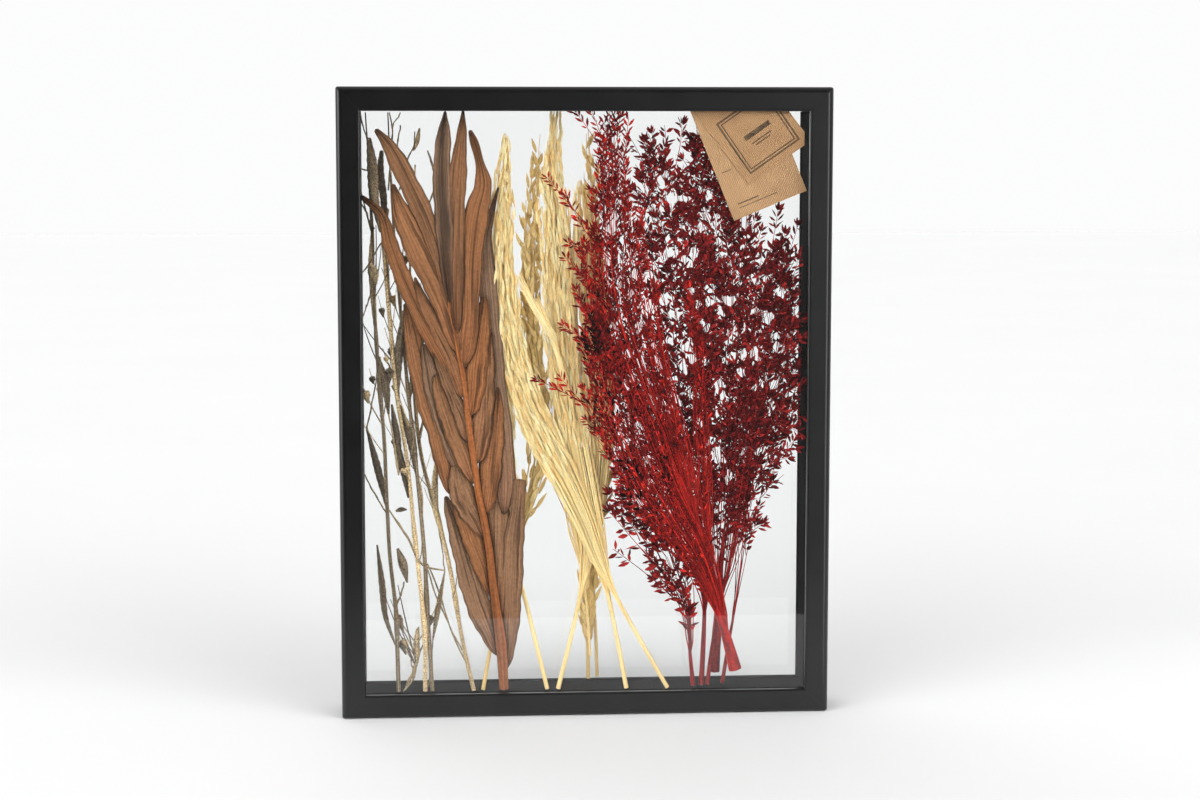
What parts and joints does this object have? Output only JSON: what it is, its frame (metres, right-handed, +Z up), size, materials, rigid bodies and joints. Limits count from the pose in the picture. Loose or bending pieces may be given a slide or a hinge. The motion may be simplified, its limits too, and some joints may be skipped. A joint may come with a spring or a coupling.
{
  "type": "pressed flower frame",
  "caption": "Deep black box frame with clear glass front and back, holding dried leaves, pods, grasses and dyed sprays upright between the panes, with blank kraft paper tags at the top.",
  "frame": {"origin": "middle of the bottom, on the surface that the frame stands on", "axes": "+Z up along the frame's height, +Y backwards through its depth, +X to the right as seen from the front"},
  "size_m": [0.312, 0.045, 0.4],
  "materials": {
    "black_lacquer": "satin black lacquer",
    "clear_glass": "clear, polished",
    "inner_black": "matt black paint",
    "kraft_paper": "uncoated brown kraft",
    "stalk_orange": "dried, satin",
    "leaf_brown": "dried leaf, satin",
    "pod_grey": "dried, matt",
    "straw": "dried grass, satin",
    "red_dye": "dyed, matt",
    "burgundy_dye": "dyed, matt"
  },
  "bodies": {
    "root": {"top_rail": "black_lacquer", "bottom_rail": "black_lacquer", "left_stile": "black_lacquer", "right_stile": "black_lacquer", "front_glass": "clear_glass", "back_glass": "clear_glass", "spacer_bottom": "inner_black", "spacer_top": "inner_black", "spacer_left": "inner_black", "spacer_right": "inner_black", "back_bead_bottom": "inner_black", "back_bead_top": "inner_black", "back_bead_left": "inner_black", "back_bead_right": "inner_black", "clipped_tag": "kraft_paper", "rectangular_tag": "kraft_paper", "leaf_spike_stalk": "stalk_orange", "leaf_top_left": "leaf_brown", "leaf_top_right": "leaf_brown", "leaf_left_1": "leaf_brown", "leaf_left_2": "leaf_brown", "leaf_left_3": "leaf_brown", "leaf_left_4": "leaf_brown", "leaf_left_5": "leaf_brown", "leaf_left_6": "leaf_brown", "leaf_left_7": "leaf_brown", "leaf_left_8": "leaf_brown", "leaf_left_9": "leaf_brown", "leaf_left_10": "leaf_brown", "leaf_left_11": "leaf_brown", "leaf_right_1": "leaf_brown", "leaf_right_2": "leaf_brown", "leaf_right_3": "leaf_brown", "leaf_right_4": "leaf_brown", "leaf_right_5": "leaf_brown", "leaf_right_6": "leaf_brown", "leaf_right_7": "leaf_brown", "pod_stalk_1": "pod_grey", "pod_stalk_2": "pod_grey", "pod_stalk_3": "pod_grey", "pod_stalk_4": "pod_grey", "pod_stalk_5": "pod_grey", "grass_front_1": "straw", "grass_front_2": "straw", "grass_front_3": "straw", "grass_front_4": "straw", "grass_front_5": "straw", "grass_back_1": "straw", "grass_back_2": "straw", "grass_back_3": "straw", "red_spray_1": "red_dye", "red_spray_2": "red_dye", "red_spray_3": "red_dye", "burgundy_spray_1": "burgundy_dye", "burgundy_spray_2": "burgundy_dye", "burgundy_spray_3": "burgundy_dye", "burgundy_spray_4": "burgundy_dye", "burgundy_spray_5": "burgundy_dye"}
  },
  "joints": []
}
